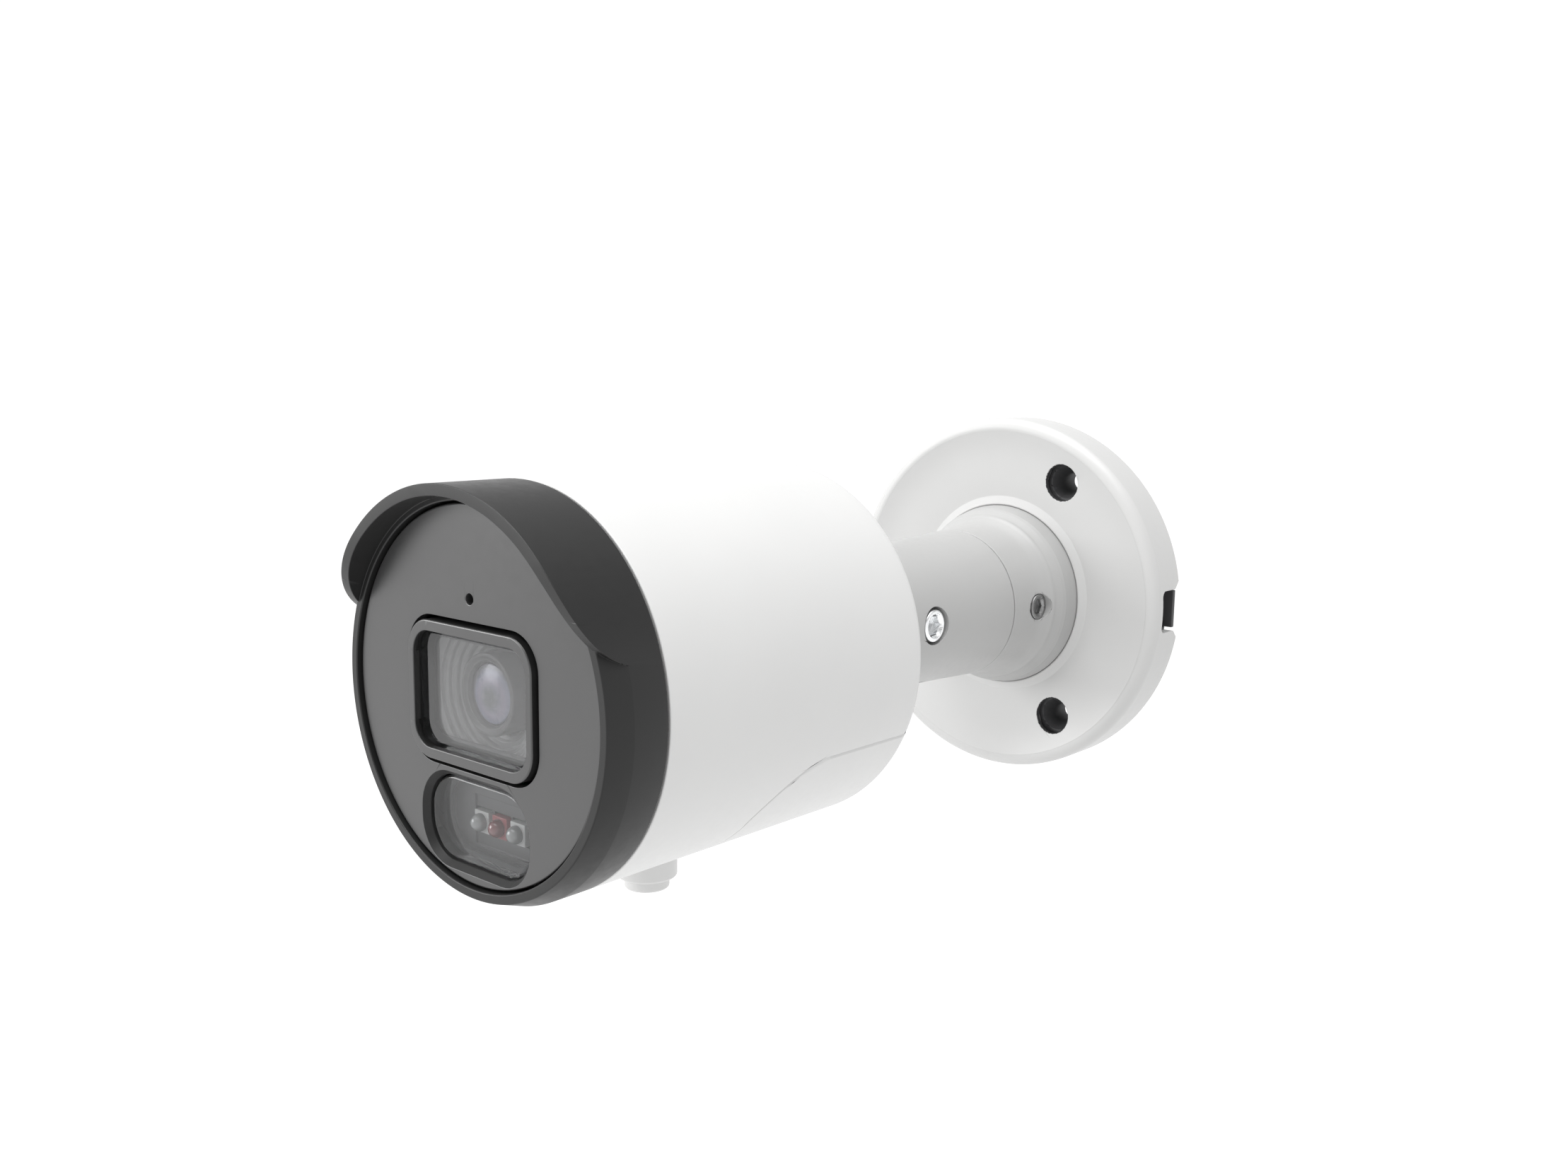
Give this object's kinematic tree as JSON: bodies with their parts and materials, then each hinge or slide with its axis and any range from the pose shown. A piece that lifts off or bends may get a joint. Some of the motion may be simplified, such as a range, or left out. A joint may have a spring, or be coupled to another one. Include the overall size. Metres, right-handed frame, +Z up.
{
  "type": "security camera",
  "caption": "Round bullet security camera with a dark visor and front panel, on a wall bracket that swivels, tilts and rolls.",
  "frame": {"origin": "centre of the base's back face, in the plane of the wall", "axes": "+Z up, +Y into the wall, the lens looks along -Y, +X to the right of the lens as it is faced"},
  "size_m": [0.0844, 0.1706, 0.0844],
  "materials": {
    "white_paint": "satin",
    "bezel_plastic": "matte",
    "panel_plastic": "satin",
    "black_plastic": "matte",
    "rubber": "matte",
    "window_glass": "gloss",
    "coated_glass": "gloss",
    "filter_glass": "gloss",
    "bright_steel": "polished",
    "dark_steel": "satin",
    "aluminium": "satin",
    "circuit_board": "satin",
    "chip": "satin",
    "clear_resin": "gloss",
    "red_resin": "gloss"
  },
  "bodies": {
    "base": {"base_cover": "white_paint", "base_core": "black_plastic", "cable_grommet": "rubber", "swivel_collar": "white_paint", "swivel_set_screw": "dark_steel", "collar_screw_1": "bright_steel", "collar_screw_2": "bright_steel", "collar_screw_3": "bright_steel"},
    "swivel": {"swivel_arm": "white_paint", "hinge_bolt": "bright_steel", "hinge_nut": "bright_steel", "friction_washer_left": "dark_steel", "friction_washer_right": "dark_steel", "swivel_retainer": "dark_steel"},
    "tail": {"tail_tongue": "white_paint", "roll_nut": "bright_steel", "roll_seal": "rubber"},
    "head": {"housing_shell": "white_paint", "access_cover": "white_paint", "access_cover_seal": "rubber", "access_cover_screw": "bright_steel", "vent_plug": "white_paint", "vent_plug_nut": "black_plastic", "bezel_visor": "bezel_plastic", "front_seal": "rubber", "front_panel": "panel_plastic", "lens_frame": "panel_plastic", "lens_window": "window_glass", "lens_window_gasket": "rubber", "lens_shroud": "black_plastic", "lens_barrel": "black_plastic", "front_lens": "coated_glass", "rear_lens": "window_glass", "lens_holder": "black_plastic", "filter_frame": "black_plastic", "filter_coil": "dark_steel", "sensor_board": "circuit_board", "image_sensor": "chip", "light_window": "window_glass", "light_window_gasket": "rubber", "light_mask": "panel_plastic", "light_board": "circuit_board", "white_light_left": "clear_resin", "infrared_light": "red_resin", "white_light_right": "clear_resin", "microphone": "dark_steel", "microphone_boot": "rubber", "board_chassis": "aluminium", "main_board": "circuit_board", "processor": "chip", "heat_sink": "aluminium", "socket_board": "circuit_board", "card_slot": "bright_steel", "memory_card": "chip", "button_body": "black_plastic"},
    "filter": {"infrared_cut_filter": "filter_glass"},
    "button": {"reset_button": "rubber"}
  },
  "joints": [
    {"name": "bracket_swivel", "type": "hinge", "parent": "base", "child": "swivel", "pos_m": [0, -0.0295, 0], "axis": [0, 1, 0], "range_deg": [-180, 180]},
    {"name": "camera_tilt", "type": "hinge", "parent": "swivel", "child": "tail", "pos_m": [0, -0.0577, 0], "axis": [1, 0, 0], "range_deg": [0, 90]},
    {"name": "camera_roll", "type": "hinge", "parent": "tail", "child": "head", "pos_m": [0, -0.09, 0], "axis": [0, 1, 0], "range_deg": [-180, 180]},
    {"name": "filter_slide", "type": "slide", "parent": "head", "child": "filter", "axis": [1, 0, 0], "range_m": [0, 0.0082]},
    {"name": "reset_press", "type": "slide", "parent": "head", "child": "button", "axis": [0, 0, 1], "range_m": [0, 0.0005], "stiffness_N_per_m": 2000}
  ]
}
